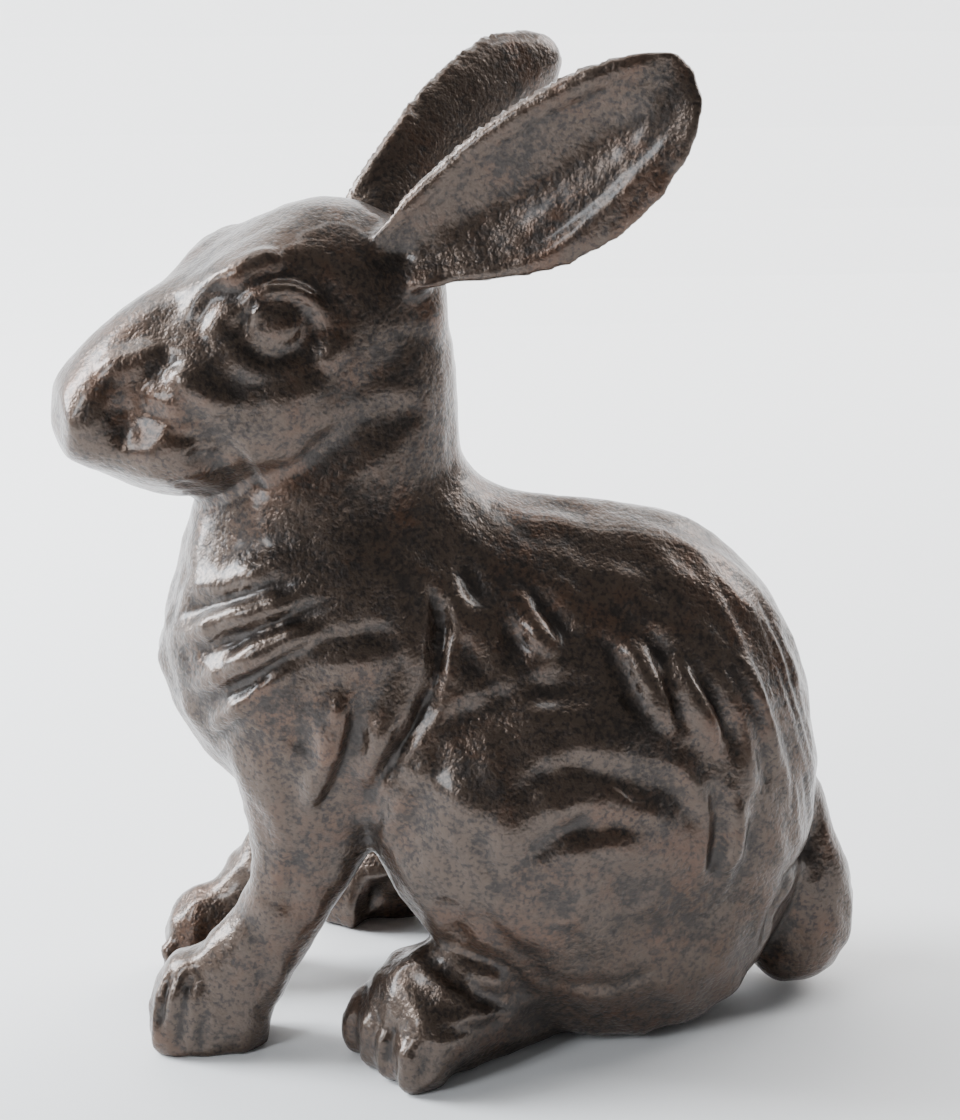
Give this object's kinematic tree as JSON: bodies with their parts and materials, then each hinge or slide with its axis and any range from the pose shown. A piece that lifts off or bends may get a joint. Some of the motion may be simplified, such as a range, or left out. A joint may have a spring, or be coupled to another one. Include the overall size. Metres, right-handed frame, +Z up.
{
  "type": "hare statue",
  "caption": "Seated hare ornament in dark brown cast iron, ears laid back, head turned to its left, fur carved in low rolls.",
  "frame": {"origin": "on the ground below the middle of the bounding box", "axes": "+Z up, -X towards the nose, -Y towards the hare's left side"},
  "size_m": [0.1966, 0.115, 0.2401],
  "materials": {
    "cast_iron": "dark brown waxed sand casting, semi-gloss with rough grain"
  },
  "bodies": {
    "root": {"hare": "cast_iron"}
  },
  "joints": []
}
